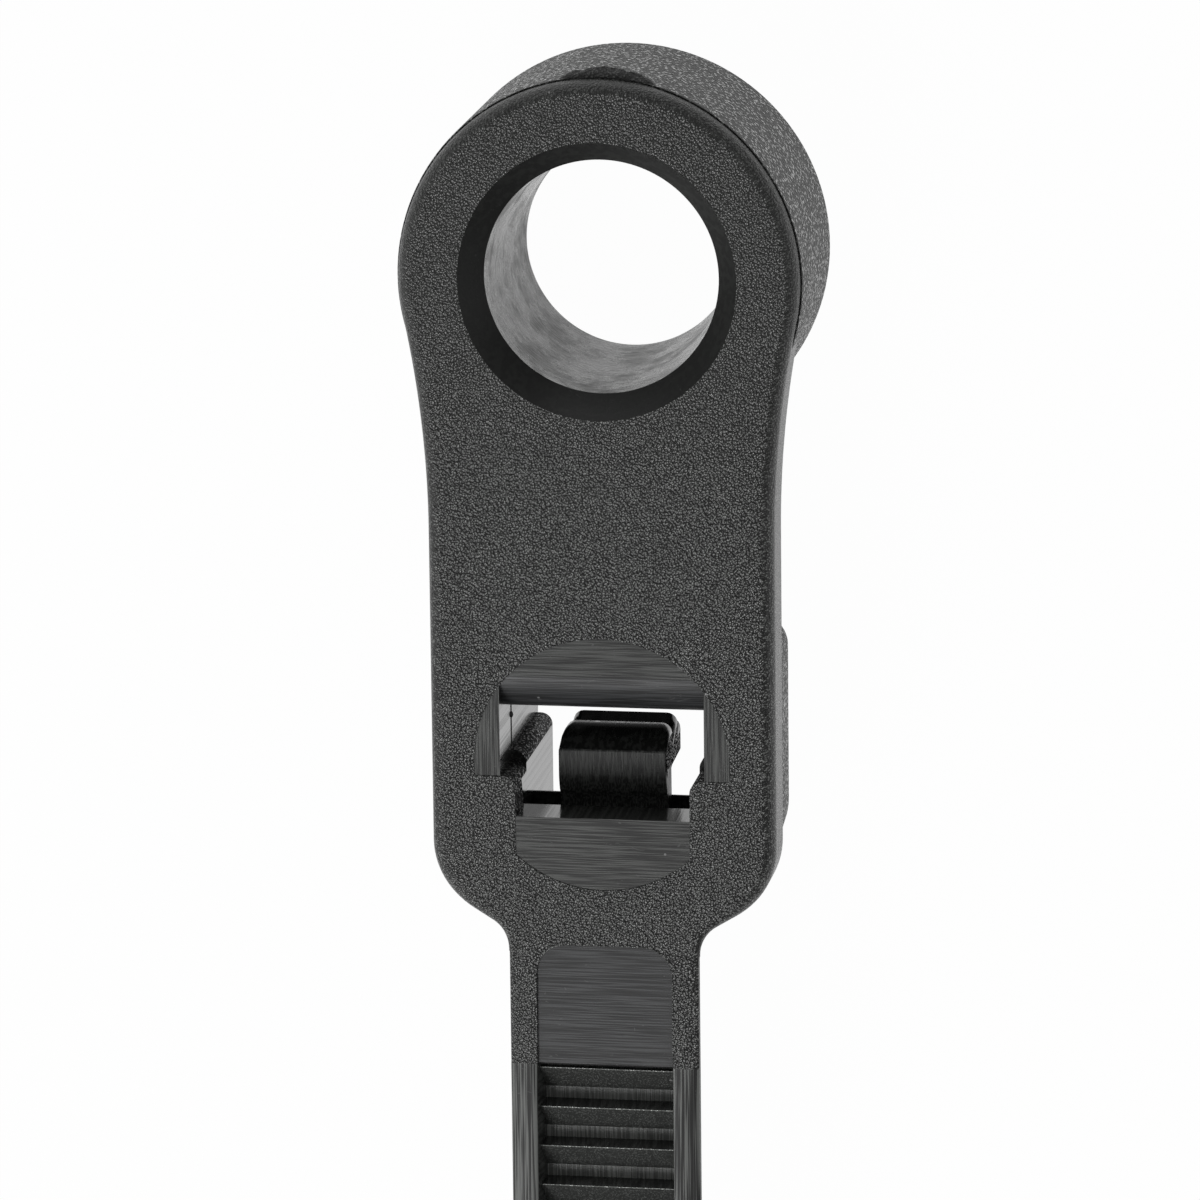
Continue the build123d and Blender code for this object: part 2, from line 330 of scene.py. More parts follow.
def prism(corners, low, high, finish, rounds, segments=8):
    """A flat outline of a few corners, some of them rounded, pulled up from low to high."""
    bm = bmesh.new()
    verts = [bm.verts.new((*c, low)) for c in corners]
    bm.faces.new(verts)
    for corner, radius in rounds:
        near = min(bm.verts, key=lambda v: (v.co.to_2d() - Vector(corner)).length)
        bmesh.ops.bevel(bm, geom=[near], offset=radius, segments=segments, profile=0.5,
                        affect="VERTICES", material=-1)
    return pulled_up(bm, high - low, finish)


def side_prism(corners, half_width, finish, rounds):
    """A prism whose outline is given as Y and Z, across the strap."""
    bm = prism(corners, -half_width, half_width, finish, rounds)
    swap = Matrix(((0, 0, 1, 0), (1, 0, 0, 0), (0, 1, 0, 0), (0, 0, 0, 1)))
    bmesh.ops.transform(bm, matrix=swap, verts=bm.verts)
    return bm


def turned(profile, sides, finishes, centre_y=0):
    """A closed round shape: a row of radius and height, with a finish for each band."""
    turns = [FULL_TURN * i / sides for i in range(sides)]
    rings = [[(radius * math.cos(turn), centre_y + radius * math.sin(turn), height)
              for turn in turns] for radius, height in profile]
    return loft(rings, finishes[0], lambda level, start: finishes[level])


def smooth_step(value, low, high):
    """0 below low, 1 above high, and smooth between."""
    t = min(max((value - low) / (high - low), 0), 1)
    return t * t * (3 - 2 * t)


def quarter(steps):
    """Sine and cosine over a quarter turn."""
    return [(math.sin(RIGHT_ANGLE * k / steps), math.cos(RIGHT_ANGLE * k / steps))
            for k in range(1, steps + 1)]


def shoulder(head, strap):
    """The shoulder in plan: how far it turns, and where it starts and meets the strap's side."""
    turn = RIGHT_ANGLE - head.shoulder_angle
    start = head.shoulder_at - head.shoulder_round * math.tan(turn / 2)
    drop = (head.half_width - strap.half_width) * math.tan(head.shoulder_angle)
    return turn, start, head.shoulder_at + drop


def plate_outline(head, strap):
    """The face plate in plan: eyelet ring, waist, straight sides, shoulders and neck."""
    flare = head.eye_radius - head.half_width
    waist_radius = (head.half_width ** 2 + head.waist_end ** 2 - head.eye_radius ** 2) / (2 * flare)
    waist_y = -head.eye_radius * head.waist_end / (head.eye_radius + waist_radius)
    slant = head.shoulder_angle
    turn, shoulder_start, neck_corner = shoulder(head, strap)
    neck_tangent = head.neck_round * math.tan(turn / 2)

    bm = bmesh.new()
    last = bm.verts.new((0, head.eye_radius, 0))
    last = arc_on(bm, last, (0, 0), RIGHT_ANGLE + math.asin(-waist_y / head.eye_radius), 56)
    centre = (-head.half_width - waist_radius, -head.waist_end)
    last = arc_on(bm, last, centre, -math.asin((waist_y + head.waist_end) / waist_radius), 20)
    last = line_on(bm, last, (-head.half_width, -shoulder_start))
    centre = (head.shoulder_round - head.half_width, -shoulder_start)
    last = arc_on(bm, last, centre, turn, 14)
    last = line_on(bm, last, (-strap.half_width - neck_tangent * math.cos(slant),
                              neck_tangent * math.sin(slant) - neck_corner))
    centre = (-strap.half_width - head.neck_round, -neck_corner - neck_tangent)
    last = arc_on(bm, last, centre, -turn, 10)
    last = line_on(bm, last, (-strap.half_width, -strap.neck_end))
    line_on(bm, last, (0, -strap.neck_end))
    close_halves(bm)
    return traced(bm)


def face_plate(head, strap, face):
    """The plate with its rounded front edge, which fades to the strap's at the neck."""
    points, outs = plate_outline(head, strap)
    fade_start, fade_end = strap.neck_end - 1.4, strap.neck_end - 0.1
    draft_start = strap.neck_end - 0.6
    rounds, drafts = [], []
    for point, out in zip(points, outs):
        near_neck = smooth_step(-point.y, fade_start, fade_end)
        rounds.append(head.edge_round + (strap.edge_round - head.edge_round) * near_neck)
        drafts.append(strap.side_draft * smooth_step(-point.y, draft_start, strap.neck_end))
        if point.y < SKIN - strap.neck_end:
            out.y = 0
            out.x = (point.x > SKIN) - (point.x < -SKIN)

    def ring(level):
        sine, cosine = level
        row = []
        for point, out, radius in zip(points, outs, rounds):
            spot = point - out * radius * (1 - cosine)
            row.append((spot.x, spot.y, face - radius * (1 - sine)))
        return row

    lowest = [(*(p - o * d), face - head.plate_thickness) for p, o, d in zip(points, outs, drafts)]
    rings = [lowest, ring((0, 1))] + [ring(level) for level in quarter(6)]
    return loft(rings, FINE)


def boss_shape(head, face):
    """The boss behind the eyelet, down to the seat."""
    profile = [(head.boss_radius - head.seat_round, 0)]
    profile += [(head.boss_radius - head.seat_round * (1 - s), head.seat_round * (1 - c))
                for s, c in quarter(4)]
    top, edge = face - head.rim_height, 0.03
    groove, groove_depth = 0.12, 0.05
    profile += [(head.boss_radius, top - edge), (head.boss_radius - edge / 2, top),
                (head.boss_radius - groove, top - groove_depth)]
    return turned(profile, ROUND_SIDES, [COARSE] * len(profile))


def lock_box(head, strap, face):
    """The lock box: the plate's lower outline, drawn in by its draft as it goes back."""
    top = face - head.plate_thickness / 2
    half = head.half_width - head.box_inset
    turn, shoulder_start, end = shoulder(head, strap)
    end -= head.box_inset
    corner = head.box_corner
    bm = bmesh.new()
    last = bm.verts.new((0, -head.box_top, 0))
    last = line_on(bm, last, (corner - half, -head.box_top))
    last = arc_on(bm, last, (corner - half, -head.box_top - corner), RIGHT_ANGLE, 10)
    last = line_on(bm, last, (-half, -shoulder_start))
    last = arc_on(bm, last, (head.shoulder_round - half, -shoulder_start), turn, 12)
    last = line_on(bm, last, (-strap.half_width, -end))
    line_on(bm, last, (0, -end))
    close_halves(bm)
    points, outs = traced(bm)

    def ring(height, extra):
        inset = (top - height) * math.tan(head.box_draft) + extra
        return [(*(p - o * inset), height) for p, o in zip(points, outs)]

    edge = head.box_edge
    rings = [ring(edge * (1 - s), edge * (1 - c)) for s, c in reversed(quarter(4))]
    rings += [ring(edge, 0), ring(top, 0)]
    return loft(rings, COARSE)


def bore_cutter(head, face):
    """The through bore with its draft, and the countersunk mouth."""
    flare = (head.mouth_radius - head.bore_front) / head.mouth_depth
    profile = [(head.bore_back, -ABOVE), (head.bore_back, 0),
               (head.bore_front, face - head.mouth_depth),
               (head.mouth_radius, face),
               (head.mouth_radius + flare * ABOVE, face + ABOVE)]
    return turned(profile, ROUND_SIDES, [SATIN, SATIN, MOUTH, MOUTH, MOUTH])


def slot_cutters(slot, face):
    """The slot's wide part, its shoulders in front and its side rails behind."""
    made = []
    for line, low, high in ((slot.shoulder, face - slot.front_depth, face + ABOVE),
                            (slot.rail, -ABOVE, face - slot.front_depth + SKIN)):
        left = [(-slot.half_width, -slot.top), (-slot.half_width, -line),
                (-slot.half_recess, -line), (-slot.half_recess, -slot.lip)]
        corners = left + [(-x, y) for x, y in reversed(left)]
        rounds = [((side * slot.half_recess, -line), slot.corner_round) for side in (-1, 1)]
        bm = prism(corners, low, high, SMOOTH, rounds)
        for wall in bm.faces:
            middle = wall.calc_center_median()
            in_recess = -slot.lip + 5 * SKIN < middle.y < -line + slot.corner_round
            if in_recess and abs(wall.normal.z) < 0.5:
                wall.material_index = ROUGH
        made.append(bm)
    return made


def lead_in_cutter(slot, face):
    """The rounded lead-in at the slot's upper wall, before the round core trims it."""
    start = Vector((-slot.top + slot.lead_in_rise, face))
    end = Vector((-slot.top, face - slot.lead_in_depth))
    chord = end - start
    turn = 2 * math.asin(chord.length / (2 * slot.lead_in_radius))
    inward = Vector((-chord.y, chord.x)).normalized()
    centre = (start + end) / 2 + inward * slot.lead_in_radius * math.cos(turn / 2)
    bm = bmesh.new()
    last = bm.verts.new((*start, -slot.half_width))
    last = arc_on(bm, last, centre, turn, 14)
    last = line_on(bm, last, (-slot.top - ABOVE / 2, face - slot.lead_in_depth))
    last = line_on(bm, last, (-slot.top - ABOVE / 2, face + ABOVE))
    line_on(bm, last, (start.x, face + ABOVE))
    points, _ = traced(close_wire(bm))
    bm = loft([[(x, *p) for p in points] for x in (-slot.half_width, slot.half_width)], PATCH)
    for side in bm.faces:
        if abs(side.normal.x) > 0.9:
            side.material_index = SMOOTH
    return bm


def close_wire(bm):
    """Joins a wire's two loose ends."""
    ends = [v for v in bm.verts if len(v.link_edges) == 1]
    bm.edges.new(ends)
    return bm


def chamber_cutter(slot, pawl, face):
    """The chamber that the pawl bends into, open at the seat side."""
    low, slope = slot.lip + slot.chamber_sag, 0.35
    wide, tight = 0.3, 0.2
    foot = slot.ridge_depth + (slot.chamber_end - slot.lip) / 3
    corners = [(-slot.shoulder, face - slot.front_depth / 2),
               (-slot.lip, face - slot.lip_wall),
               (-low, face - slot.lip_wall - slope),
               (-low, face - pawl.setback - pawl.hinge_set - pawl.hinge_thickness / 2),
               (-slot.lip, face - slot.ridge_depth),
               (-slot.chamber_end, face - foot),
               (-slot.chamber_end, -ABOVE),
               (-slot.shoulder, -ABOVE)]
    rounds = [(corners[2], wide), (corners[3], wide), (corners[4], tight)]
    return side_prism(corners, slot.half_recess, SMOOTH, rounds)


def core_marks(slot, face):
    """The shallow marks that the slot's cores leave on the face: two caps and two wings."""
    made = []
    low, high = face - slot.core_depth, face + ABOVE
    wide, narrow = slot.half_width, slot.half_recess
    for finish, cuts in (
            # a point on each cut, and the way out of the mark there
            (ACROSS, ((0, -slot.top, 0, -1), (wide, 0, 1, 0), (-wide, 0, -1, 0))),
            (ACROSS, ((0, -slot.lip, 0, 1), (narrow, 0, 1, 0), (-narrow, 0, -1, 0))),
            (ALONG, ((-wide, 0, 1, 0), (0, -slot.shoulder, 0, -1))),
            (ALONG, ((wide, 0, -1, 0), (0, -slot.shoulder, 0, -1)))):
        bm = bmesh.new()
        bmesh.ops.create_circle(bm, cap_ends=True, segments=CORE_SIDES, radius=slot.core_radius,
                                matrix=Matrix.Translation((0, -slot.core_centre, low)))
        for x, y, out_x, out_y in cuts:
            bmesh.ops.bisect_plane(bm, geom=bm.verts[:] + bm.edges[:] + bm.faces[:],
                                   plane_co=(x, y, low), plane_no=(out_x, out_y, 0),
                                   clear_outer=True, dist=TOUCHING / 10)
        made.append(pulled_up(bm, high - low, finish))
    return made


def pawl_shape(pawl, strap, face):
    """The pawl: a tongue with two teeth, lofted from its nose back."""
    nose = face - pawl.setback
    crest = nose - pawl.first_crest
    second = crest - strap.pitch
    edge, worn, full = 0.03, 0.02, pawl.crest_round

    def tooth(at):
        # The crest's edge takes the painted crest highlight
        return [(at + edge, pawl.crest, full, pawl.underside, CREST_HIGHLIGHT),
                (at - edge, pawl.crest + worn, full, pawl.underside, SMOOTH),
                (at - strap.lean - edge, pawl.valley, full, pawl.underside, SMOOTH)]

    stations = [
        # height, top, rounding, bottom, finish of the top after it
        (nose, pawl.nose_top + 0.05, 0.05, pawl.nose_bottom - 0.3, NOSE),
        (nose - edge, pawl.nose_top, 0.06, pawl.nose_bottom - 0.3, SMOOTH),
        (nose - pawl.hinge_set, None, None, pawl.nose_bottom - 0.1, SMOOTH),
        (crest + 0.65, pawl.crest + 0.17, 0.13, pawl.underside + 0.15, SMOOTH),
        (crest + 0.35, pawl.crest + 0.06, 0.2, pawl.underside + 0.08, SMOOTH),
        *tooth(crest), (second + 0.3, None, None, pawl.underside, SMOOTH), *tooth(second),
        (second - pawl.tail, pawl.valley - 0.1, full, pawl.underside, SMOOTH),
    ]
    heights = [s[0] for s in stations]

    def filled(column, index):
        """A station's value, or the one between its neighbours' where it has none."""
        if stations[index][column] is not None:
            return stations[index][column]
        before = max(i for i in range(index) if stations[i][column] is not None)
        after = min(i for i in range(index, len(stations)) if stations[i][column] is not None)
        share = (heights[index] - heights[before]) / (heights[after] - heights[before])
        return stations[before][column] * (1 - share) + stations[after][column] * share

    rings = []
    for index, height in enumerate(heights):
        top, radius, bottom = filled(1, index), filled(2, index), stations[index][3]
        share = (height - nose) / (heights[-1] - nose)
        half = pawl.half_width + (pawl.back_half_width - pawl.half_width) * share
        if index == 0:
            half -= edge
        ring = [(-half, -bottom, height), (-half, -(bottom + top) / 2, height)]
        ring += [(-half + radius * (1 - c), -top - radius * (1 - s), height)
                 for s, c in [(0, 1)] + quarter(5)]
        ring += [(-x, y, z) for x, y, z in reversed(ring)]
        rings.append(ring)
    count = len(rings[0])

    def between(level, start):
        if start in (0, 1, count - 3, count - 2):
            return ROUGH
        return stations[level][4] if 2 <= start <= count - 4 else SMOOTH

    bm = loft(rings, SMOOTH, between)
    for each in bm.faces:
        if each.normal.z > 0.9:
            each.material_index = NOSE
    return bm


def hinge_shape(slot, pawl, face):
    """The thin hinge between the pawl and the chamber's floor."""
    nose = face - pawl.setback
    front = nose - pawl.hinge_set
    back = front - pawl.hinge_thickness
    foot = slot.lip + slot.chamber_sag + 0.25
    inside, fillet, widening, gap = 0.4, 0.45, 0.04, 0.005
    corners = [(inside - pawl.nose_bottom, nose - 2 * SKIN), (-pawl.nose_bottom, nose - 2 * SKIN),
               (-pawl.nose_bottom - fillet, front), (-foot, front + widening),
               (-foot, back - widening), (inside - pawl.nose_bottom, back)]
    rounds = [(corners[1], 0.3), (corners[2], 0.25)]
    return side_prism(corners, pawl.half_width - gap, NOSE, rounds)


def flash_line(slot, face):
    """The parting line on the slot's left wall, with its bead."""
    depth, half = face - slot.front_depth, slot.flash_width / 2
    wall, sunk, bead_drop = -slot.half_width, 0.1, 0.42
    corners = [(wall - sunk, depth - half), (wall + half, depth - half / 2),
               (wall + half, depth + half / 2), (wall - sunk, depth + half)]
    line = loft([[(x, y, z) for x, z in corners] for y in (sunk - slot.top, sunk - slot.rail)],
                SMOOTH)
    bead = bmesh.new()
    spot = Matrix.Translation((wall, -slot.top - bead_drop, depth + 0.005))
    bmesh.ops.create_icosphere(bead, subdivisions=3, radius=slot.bead_radius,
                               matrix=spot @ Matrix.Diagonal((0.8, 1.2, 0.8, 1)))
    return [line, painted(bead, SMOOTH)]


def scar_shape(head, face):
    """The torn-off gate behind the rim, at the eyelet's top."""
    rows, columns = 9, 30
    left, right = -0.95, 1.4
    high, low = face - head.rim_height + 0.06, face - head.rim_height - 0.42
    thinnest, proud, torn = 0.35, 0.17, 0.09
    inner = head.boss_radius - 0.35
    rings = []
    for i in range(columns + 1):
        x = left + (right - left) * i / columns
        angle = math.asin(x / head.boss_radius)
        swell = math.sqrt(max(0, math.sin(math.pi * i / columns)))
        spots = []
        for j in range(rows + 1):
            share = j / rows - 0.5
            z = high + (low - high) * (0.5 + share * (thinnest + (1 - thinnest) * swell))
            bulge = math.sqrt(math.sin(math.pi * j / rows))
            rough = noise.fractal(Vector((x * 4.2, z * 4.8, 3.1)), 0.9, 2.1, 4)
            spots.append((head.boss_radius + (proud + torn * rough) * bulge * swell, z))
        spots += [(inner, spots[-1][1]), (inner, spots[0][1])]
        rings.append([(r * math.sin(angle), r * math.cos(angle), z) for r, z in spots])
    return loft(rings, SCAR)


def along(strap, face, distance, height):
    """Y and Z of a point on the strap: distance from the neck along it, and height above it."""
    fall = face - strap.thickness
    bend = 2 * math.atan(fall / strap.drop_run)
    radius = strap.drop_run / (2 * math.sin(bend))
    bend_length = radius * bend
    level_end = strap.neck_end + strap.level_reach
    landing = level_end + strap.drop_run
    run = distance - strap.level_reach
    if run <= 0:
        return -strap.neck_end - distance, face + height
    if run <= bend_length:
        angle, arm = run / radius, radius + height
        return -level_end - arm * math.sin(angle), face - radius + arm * math.cos(angle)
    if run <= 2 * bend_length:
        angle, arm = (2 * bend_length - run) / radius, radius - height
        return -landing + arm * math.sin(angle), strap.thickness + radius - arm * math.cos(angle)
    return -landing - (run - 2 * bend_length), strap.thickness + height


def strap_section(strap, half, floor):
    """Half a section across the strap, from its back's middle round to its teeth's middle."""
    edge, thick = strap.edge_round, strap.thickness
    back, rail_in = half - strap.side_draft, half - strap.rail_width
    ridge, crown, brink, swell = 0.2, 0.07, 0.015, 0.01
    lean = strap.wall_lean * (-floor / strap.tooth_height)
    diagonal = edge * (1 - math.sqrt(0.5))
    return [
        (back - edge, -thick), (back - diagonal + swell, -thick + diagonal),
        (back + strap.side_draft * edge / thick, -thick + edge),
        (half - swell, -edge), (half - diagonal, -diagonal), (half - edge, 0),
        (rail_in + ridge, max(-strap.rail_dip, floor / 8)), (rail_in + crown, 0),
        (rail_in + brink, max(-0.02, floor / 3)), (rail_in, max(-0.05, floor / 2)),
        (rail_in - lean, floor),
    ]


def strap_shape(strap, face):
    """The strap: sections set along its way, four to a tooth, with the tip drawn in."""
    first = strap.root - strap.neck_end
    count = int((strap.reach - strap.tip_plain - first) / strap.pitch)
    crest, deep = -strap.crest_depth, -strap.crest_depth - strap.tooth_height
    flat, step = -SKIN * 2, 0.02
    edge = strap.crest_width
    row = first + strap.first_gap
    # distance along the strap, height of the floor between the rails, kind of the floor after it
    stations = [(-1.5, flat, 0), (first / 2, flat, 0), (first - step / 2, flat, 0),
                (first + step, crest - strap.root_groove, 4),
                (row - 1.5 * step, crest - strap.root_groove, 4)]
    for start in (row + tooth * strap.pitch for tooth in range(count)):
        stations += [(start + edge * 0.2, crest - 0.008, 1), (start + edge, crest - 0.014, 2),
                     (start + strap.ramp, deep, 3), (start + strap.pitch - strap.lean, deep, 4)]
    row_end = row + count * strap.pitch
    stations += [(row_end, crest, 0), (row_end + step, flat, 0)]
    plain = strap.reach - strap.tip_taper
    taper_end = strap.reach - strap.tip_round
    for start, end, parts in ((row_end, plain, 8), (plain, taper_end, 4)):
        stations += [(start + (end - start) * k / parts, flat, 0) for k in range(1, parts + 1)]
    stations += [(taper_end + strap.tip_round * s, flat, 0) for s, _ in quarter(6)]

    full = strap.half_width - SKIN
    rings = []
    for distance, floor, _ in stations:
        half = full
        if distance > plain:
            half += (strap.tip_half_width - strap.half_width) * (distance - plain) / strap.tip_taper
        if distance > taper_end:
            share = (distance - taper_end) / strap.tip_round
            half -= strap.tip_round * (1 - math.sqrt(max(0, 1 - share * share)))
        lift = -SKIN * (distance < 0.05)
        section = [(x * half / full, h + lift) for x, h in strap_section(strap, full, floor)]
        section += [(-x, h) for x, h in reversed(section)]
        rings.append([(x, *along(strap, face, distance, h)) for x, h in section])
    points = len(rings[0])
    # The second kind, the crest's edge, takes the painted crest highlight
    pocket = (RAIL, CREST_HIGHLIGHT, RAMP, LAND, SMOOTH)

    def between(level, start):
        kind = stations[level][2]
        if kind == 0 and level < 3:
            return FINE
        place = min(start, points - 2 - start)
        if place == points // 2 - 1:
            return pocket[kind]
        if place in (8, 9):
            return SMOOTH
        return RAIL if 3 <= place <= 7 else FINE

    return loft(rings, FINE, between)


def patch_cutter(strap, face):
    """The smooth arched patch between the head and the first tooth."""
    half = strap.half_width - strap.rail_width
    corners = [(-half, -strap.root), (half, -strap.root), (half, -strap.patch_top),
               (-half, -strap.patch_top)]
    rounds = [(corners[2], strap.patch_round), (corners[3], strap.patch_round)]
    return prism(corners, face - strap.patch_depth, face + ABOVE, PATCH, rounds, 10)


def as_object(name, bm, finishes):
    """A bmesh as an object of the scene, with every finish in its slots."""
    mesh = bpy.data.meshes.new(name)
    bm.to_mesh(mesh)
    bm.free()
    for finish in finishes:
        mesh.materials.append(finish)
    made = bpy.data.objects.new(name, mesh)
    bpy.context.scene.collection.objects.link(made)
    return made


def combine(base, others, operation):
    """Adds, cuts or trims an object's shape with others, and removes them."""
    for other in others:
        tool = base.modifiers.new(other.name, "BOOLEAN")
        tool.operation, tool.solver, tool.object = operation, "EXACT", other
    bpy.context.view_layer.update()
    shown = base.evaluated_get(bpy.context.evaluated_depsgraph_get())
    mesh = bpy.data.meshes.new_from_object(shown)
    base.modifiers.clear()
    old = base.data
    base.data = mesh
    bpy.data.meshes.remove(old)
    for other in others:
        bpy.data.meshes.remove(other.data)
    return base


def finish_piece(piece):
    """Brings a piece to metres, merges its doubles and sets its shading."""
    bm = bmesh.new()
    bm.from_mesh(piece.data)
    bmesh.ops.remove_doubles(bm, verts=bm.verts, dist=2 * TOUCHING)
    bmesh.ops.dissolve_degenerate(bm, edges=bm.edges, dist=TOUCHING)
    bmesh.ops.scale(bm, vec=(MM, MM, MM), verts=bm.verts)
    bmesh.ops.recalc_face_normals(bm, faces=bm.faces)
    for face in bm.faces:
        face.smooth = True
    bm.to_mesh(piece.data)
    bm.free()
    piece.data.set_sharp_from_angle(angle=SHARP)
    piece.modifiers.new("even shading", "WEIGHTED_NORMAL").keep_sharp = True


# Finishes

class Board:
    """Places nodes on a node tree, one call a node."""

    def __init__(self, tree):
        self.tree = tree
        tree.nodes.clear()

    def add(self, kind, settings=None, **inputs):
        """A node of that kind; an input is a value or another node's output."""
        node = self.tree.nodes.new(kind)
        for key, value in (settings or {}).items():
            setattr(node, key, value)
        for key, value in inputs.items():
            socket = node.inputs[int(key[1:])] if key[0] == "i" and key[1:].isdigit() else (
                node.inputs[key.replace("_", " ")])
            if isinstance(value, bpy.types.NodeSocket):
                self.tree.links.new(value, socket)
            else:
                socket.default_value = value
        return node

    def maths(self, operation, one, two=0.0, clamp=False):
        """The result of a Math node."""
        return self.add("ShaderNodeMath", {"operation": operation, "use_clamp": clamp},
                        i0=one, i1=two).outputs[0]

    def group(self, tree, **inputs):
        """A node group placed on the board."""
        return self.add("ShaderNodeGroup", {"node_tree": tree}, **inputs)

    def clouds(self, place, scale, detail, roughness=0.5):
        """The value of a Noise texture."""
        return self.add("ShaderNodeTexNoise", Vector=place, Scale=scale, Detail=detail,
                        Roughness=roughness).outputs[0]

    def give(self, out, **outputs):
        """Links what a group gives to its output node, and hands the group over."""
        for key, value in outputs.items():
            self.tree.links.new(value, out.inputs[key])
        return self.tree

    def ramp(self, value, low, high, to_low=0.0, to_high=1.0):
        """Value brought from one range to another, smoothly."""
        return self.add("ShaderNodeMapRange", {"interpolation_type": "SMOOTHSTEP"}, Value=value,
                        From_Min=low, From_Max=high, To_Min=to_low, To_Max=to_high).outputs[0]


def new_group(name, inputs, outputs):
    """A board for a node group, the outputs of its input node by name, and its output node.
    Besides the place, the group takes numbers or vectors; it gives numbers."""
    tree = bpy.data.node_groups.new(name, "ShaderNodeTree")
    tree.interface.new_socket("Vector", in_out="INPUT", socket_type="NodeSocketVector")
    for label, default in inputs.items():
        kind = "NodeSocketVector" if isinstance(default, tuple) else "NodeSocketFloat"
        tree.interface.new_socket(label, in_out="INPUT", socket_type=kind).default_value = default
    for label in outputs:
        tree.interface.new_socket(label, in_out="OUTPUT", socket_type="NodeSocketFloat")
    board = Board(tree)
    return board, board.add("NodeGroupInput").outputs, board.add("NodeGroupOutput")


def grain_group():
    """Spark-eroded grain: small rounded peaks of about one size, with pits between them."""
    board, given, out = new_group("eroded grain", {"Size": 0.06}, ("Height", "Peaks"))
    scale = board.maths("DIVIDE", 1.0, given["Size"])
    fine = board.clouds(given["Vector"], scale, 1.0)
    cells = board.add("ShaderNodeTexVoronoi", Vector=given["Vector"],
                      Scale=board.maths("MULTIPLY", scale, 0.78))
    dome = board.maths("SUBTRACT", 1.0, board.maths("MULTIPLY", cells.outputs["Distance"], 1.2))
    height = board.maths("ADD", board.maths("MULTIPLY", dome, 0.6),
                         board.maths("MULTIPLY", fine, 0.4))
    pits, peaks = 0.48, 0.65
    return board.give(out, Height=height, Peaks=board.ramp(height, pits, peaks))


def streak_group():
    """Fine parallel brush lines, long one way and thin the other."""
    board, given, out = new_group("brush lines", {"Width": 0.03, "Stretch": (0.03, 1.0, 1.0)},
                                  ("Height", "Bright"))
    scale = board.maths("DIVIDE", 1.0, given["Width"])
    stretched = board.add("ShaderNodeVectorMath", {"operation": "MULTIPLY"},
                          i0=given["Vector"], i1=given["Stretch"]).outputs[0]
    fine = board.clouds(stretched, scale, 1.0)
    broad = board.clouds(stretched, board.maths("MULTIPLY", scale, 0.2), 2.0)
    both = board.maths("ADD", board.maths("MULTIPLY", fine, 0.8),
                       board.maths("MULTIPLY", broad, 0.2))
    furrows, lines = 0.44, 0.59
    return board.give(out, Height=both, Bright=board.ramp(both, furrows, lines))


def handling_group():
    """Marks of handling: a few dust specks and short scratches."""
    board, given, out = new_group("handling marks", {"Amount": 1.0}, ("Specks", "Scratches"))
    cells = board.add("ShaderNodeTexVoronoi", Vector=given["Vector"], Scale=1.9)
    chance = board.add("ShaderNodeSeparateColor", Color=cells.outputs["Color"])
    largest = 0.06
    size = board.ramp(chance.outputs[0], 0.62, 1.0, 0.0, largest)
    speck = board.maths("LESS_THAN", cells.outputs["Distance"],
                        board.maths("MULTIPLY", size, given["Amount"]))
    warp = board.add("ShaderNodeTexNoise", Vector=given["Vector"], Scale=0.8, Detail=1.0)
    bent = board.add("ShaderNodeVectorMath", {"operation": "MULTIPLY_ADD"},
                     i0=warp.outputs["Color"], i1=(1.6, 1.6, 1.6), i2=given["Vector"])
    thin = board.add("ShaderNodeMapping", Vector=bent.outputs[0], Rotation=(0, 0, 0.5),
                     Scale=(0.5, 16.0, 16.0))
    lines = board.ramp(board.clouds(thin.outputs[0], 1.6, 0.0), 0.74, 0.78)
    where = board.ramp(board.clouds(given["Vector"], 1.3, 1.0), 0.55, 0.6)
    scratch = board.maths("MULTIPLY", board.maths("MULTIPLY", lines, where), given["Amount"])
    return board.give(out, Specks=speck, Scratches=scratch)


def new_material(name):
    """A new material and its empty board."""
    material = bpy.data.materials.new(name)
    material.use_nodes = True
    return material, Board(material.node_tree)


def start_finish(name):
    """A new material with its board and the piece's coordinates in millimetres."""
    material, board = new_material(name)
    place = board.add("ShaderNodeTexCoord").outputs["Object"]
    place = board.add("ShaderNodeMapping", Vector=place, Scale=(1 / MM,) * 3).outputs[0]
    return material, board, place


def end_finish(board, colour, roughness, height, depth):
    """The shader of a nylon surface, with its relief."""
    bump = board.add("ShaderNodeBump", Strength=1.0, Distance=depth * MM, Height=height)
    shader = board.add("ShaderNodeBsdfPrincipled", Base_Color=colour, Roughness=roughness,
                       Specular_IOR_Level=0.5, IOR=1.53, Normal=bump.outputs[0])
    board.add("ShaderNodeOutputMaterial", Surface=shader.outputs[0])


def tinted(board, colour, share, toward):
    """A colour carried toward another by a mask."""
    one, two = (c if isinstance(c, bpy.types.NodeSocket) else (*c, 1) for c in (colour, toward))
    return board.add("ShaderNodeMix", {"data_type": "RGBA"}, i0=share, i6=one,
                     i7=two).outputs[2]


def scaled(colour, factor):
    """A plain colour made lighter or darker."""
    return tuple(c * factor for c in colour)


